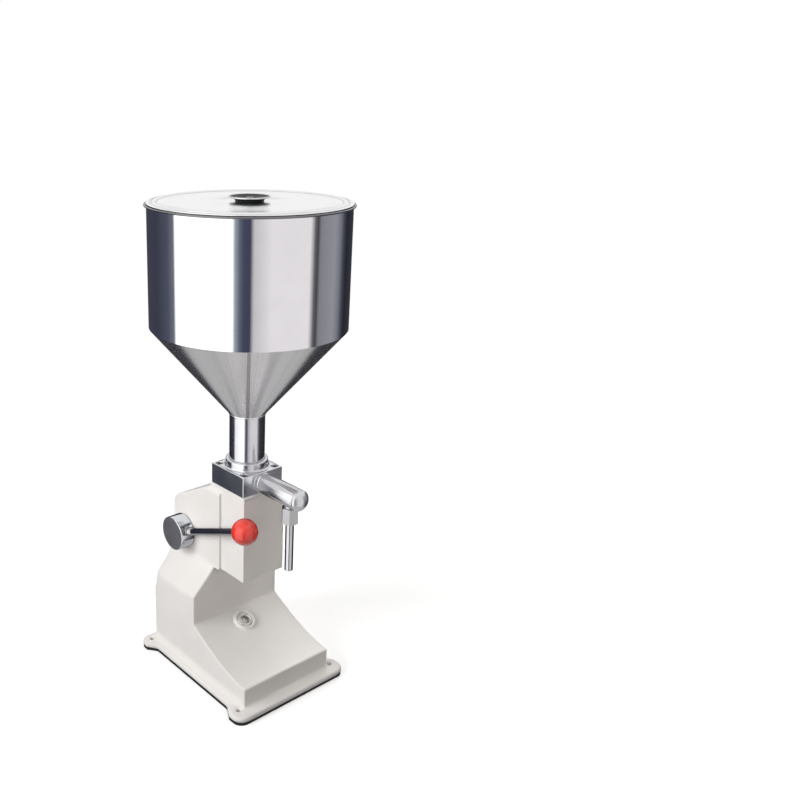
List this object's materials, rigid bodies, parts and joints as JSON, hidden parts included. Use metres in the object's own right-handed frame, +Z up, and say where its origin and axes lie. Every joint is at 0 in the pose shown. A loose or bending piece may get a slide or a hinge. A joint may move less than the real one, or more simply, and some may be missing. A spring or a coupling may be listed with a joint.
{
  "type": "piston liquid filler",
  "caption": "Hand-operated piston filler: conical hopper and valve block on a cast body, with a side lever, a piston pump and a front nozzle.",
  "frame": {"origin": "where the hopper's axis meets the surface the machine stands on, which is the centre of the bounding box's base", "axes": "+Z up along the hopper and the piston, -Y the front where the nozzle is, -X the side with the lever"},
  "size_m": [0.28, 0.28, 0.7122],
  "materials": {
    "cast_paint": "satin warm off-white enamel on iron casting",
    "sole_rubber": "matte black sheet rubber",
    "plug_steel": "machined steel",
    "block_steel": "ground and polished steel",
    "screw_steel": "machined steel",
    "white_seal": "white sealing plastic",
    "polished_steel": "polished",
    "ball_steel": "polished",
    "hopper_mirror": "mirror polished stainless sheet",
    "cone_satin": "satin brushed stainless sheet",
    "collar_steel": "turned stainless",
    "lid_steel": "satin stainless sheet",
    "knob_chrome": "polished",
    "dark_steel": "oiled steel",
    "bush_bronze": "bearing bronze",
    "hub_chrome": "bright chrome plate",
    "rod_chrome": "bright chrome plate",
    "grip_red": "glossy red phenolic",
    "tube_steel": "polished stainless",
    "cap_satin": "satin stainless",
    "black_seal": "black rubber"
  },
  "bodies": {
    "machine": {"housing": "cast_paint", "sole_pad": "sole_rubber", "rest_plug": "plug_steel", "valve_block": "block_steel", "block_screws": "screw_steel", "block_seal": "white_seal", "inlet_cage": "polished_steel", "hopper_bowl": "hopper_mirror", "hopper_cone": "cone_satin", "hopper_neck": "hopper_mirror", "neck_collar": "collar_steel", "neck_seal": "white_seal", "cylinder_barrel": "polished_steel", "bush_left": "bush_bronze", "bush_right": "bush_bronze", "discharge_tube": "tube_steel", "tube_seal": "white_seal", "outlet_spring": "screw_steel", "end_cap": "cap_satin", "cap_seal": "black_seal", "nozzle_nut": "tube_steel", "nozzle_tube": "tube_steel", "nozzle_seal": "white_seal", "adjust_bush": "bush_bronze"},
    "lid": {"hopper_lid": "lid_steel", "lid_knob": "knob_chrome", "lid_screw": "screw_steel", "lid_nut": "screw_steel"},
    "lever": {"main_shaft": "dark_steel", "crank_arm": "dark_steel", "crank_key": "dark_steel", "crank_set_screw": "screw_steel", "arm_pin": "polished_steel", "pin_clips": "screw_steel", "end_collar": "collar_steel", "end_collar_screw": "screw_steel", "handle_hub": "hub_chrome", "hub_set_screw": "screw_steel", "handle_rod": "rod_chrome", "rod_lock_nut": "hub_chrome", "handle_ball": "grip_red"},
    "rollers": {"arm_rollers": "polished_steel"},
    "pump": {"piston": "polished_steel", "piston_rings": "white_seal", "piston_rod": "polished_steel", "piston_nut": "screw_steel", "crosshead": "dark_steel"},
    "inlet_valve": {"inlet_ball": "ball_steel"},
    "outlet_valve": {"outlet_ball": "ball_steel"},
    "stop_knob": {"adjust_knob": "dark_steel"},
    "stop_pin": {"adjust_pin": "polished_steel"}
  },
  "joints": [
    {"name": "lever_turn", "type": "hinge", "parent": "machine", "child": "lever", "pos_m": [0, 0.096, 0.201], "axis": [-1, 0, 0], "range_deg": [-12, 12]},
    {"name": "piston_slide", "type": "slide", "parent": "machine", "child": "pump", "axis": [0, 0, 1], "range_m": [-0.0202, 0.0202]},
    {"name": "roller_spin", "type": "hinge", "parent": "lever", "child": "rollers", "pos_m": [0, 0, 0.205], "axis": [1, 0, 0], "continuous": true},
    {"name": "lid_lift", "type": "slide", "parent": "machine", "child": "lid", "axis": [0, 0, 1], "range_m": [0, 0.06]},
    {"name": "inlet_ball_lift", "type": "slide", "parent": "machine", "child": "inlet_valve", "axis": [0, 0, 1], "range_m": [0, 0.0031]},
    {"name": "outlet_ball_open", "type": "slide", "parent": "machine", "child": "outlet_valve", "axis": [0, -1, 0], "range_m": [0, 0.004], "stiffness_N_per_m": 150, "springref_m": -0.004, "deforming": ["outlet_spring"]},
    {"name": "stop_knob_turn", "type": "hinge", "parent": "machine", "child": "stop_knob", "pos_m": [0, 0.125, 0.163], "axis": [0, 1, 0], "range_deg": [0, 2160]},
    {"name": "stop_pin_slide", "type": "slide", "parent": "machine", "child": "stop_pin", "axis": [0, -1, 0], "range_m": [0, 0.00901]}
  ],
  "couplings": [
    {"joint": "piston_slide", "follows": "lever_turn", "m_per_rad": 0.095299},
    {"joint": "stop_pin_slide", "follows": "stop_knob_turn", "m_per_rad": 0.00023873}
  ]
}
